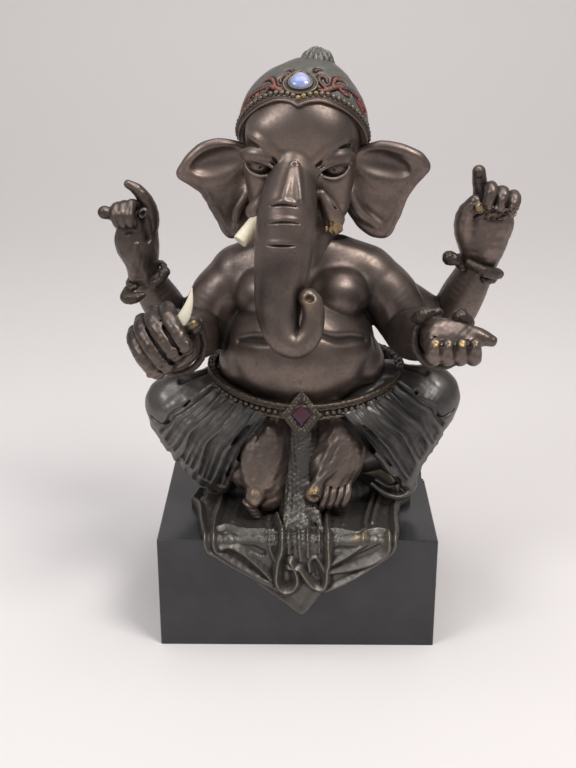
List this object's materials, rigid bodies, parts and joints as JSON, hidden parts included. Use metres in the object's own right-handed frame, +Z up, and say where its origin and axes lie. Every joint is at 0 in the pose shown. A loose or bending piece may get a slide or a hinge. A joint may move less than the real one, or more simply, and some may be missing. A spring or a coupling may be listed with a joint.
{
  "type": "deity statuette",
  "caption": "Seated multi-armed elephant-headed deity figure in cast bronze with crown, belt and draped cloth, bolted on a polished stone block plinth.",
  "frame": {"origin": "middle of the plinth's resting face (underside of its felt)", "axes": "+Z up, the figure faces -Y, +X towards the figure's left hand"},
  "size_m": [0.1843, 0.1176, 0.2536],
  "materials": {
    "skin_bronze": "dark brown patina over cast bronze, rubbed warmer on the high points",
    "dhoti_bronze": "dark grey-green patina, satin, pleats rubbed on their ridges",
    "cloth_bronze": "gritty olive-brown patina with bright worn folds",
    "crown_bronze": "grey-green patina, incised lines filled dark",
    "ornament_bronze": "brown patina, rubbed edges",
    "bead_brass": "worn brassy beads with dark gaps",
    "plinth_stone": "black stone, polished",
    "tusk_resin": "ivory-coloured resin, satin",
    "opal_gem": "opalescent stone, blue and lilac play of colour",
    "buckle_gem": "dark purple-red faceted stone",
    "red_enamel": "dull brick-red enamel",
    "felt": "dark felt",
    "fixing_steel": "plain zinc-plated steel"
  },
  "bodies": {
    "root": {"base_felt": "felt", "plinth": "plinth_stone", "mounting_stud": "fixing_steel", "stud_washer": "fixing_steel", "stud_nut": "fixing_steel", "seat_mound": "cloth_bronze", "drape": "cloth_bronze", "dhoti_hips": "dhoti_bronze", "dhoti_right": "dhoti_bronze", "dhoti_left": "dhoti_bronze", "foot_right": "skin_bronze", "foot_left": "skin_bronze", "belt_band": "ornament_bronze", "belt_beads": "bead_brass", "buckle_frame": "bead_brass", "buckle_gem": "buckle_gem", "torso": "skin_bronze", "head": "skin_bronze", "ear_right": "skin_bronze", "ear_left": "skin_bronze", "mouth_tusk": "tusk_resin", "held_tusk": "tusk_resin", "crown_cap": "crown_bronze", "crown_rim": "skin_bronze", "crown_beads": "bead_brass", "crown_knob": "crown_bronze", "crown_bezel": "bead_brass", "crown_gem": "opal_gem", "crown_enamel_right": "red_enamel", "crown_enamel_left": "red_enamel", "front_right_arm": "skin_bronze", "front_right_hand": "skin_bronze", "front_right_bangle": "ornament_bronze", "front_left_arm": "skin_bronze", "front_left_hand": "skin_bronze", "front_left_bangle": "ornament_bronze", "rear_right_arm": "skin_bronze", "rear_right_hand": "skin_bronze", "rear_right_finger": "skin_bronze", "rear_right_bangle": "ornament_bronze", "rear_left_arm": "skin_bronze", "rear_left_hand": "skin_bronze", "rear_left_finger": "skin_bronze", "rear_left_bangle": "ornament_bronze"}
  },
  "joints": []
}
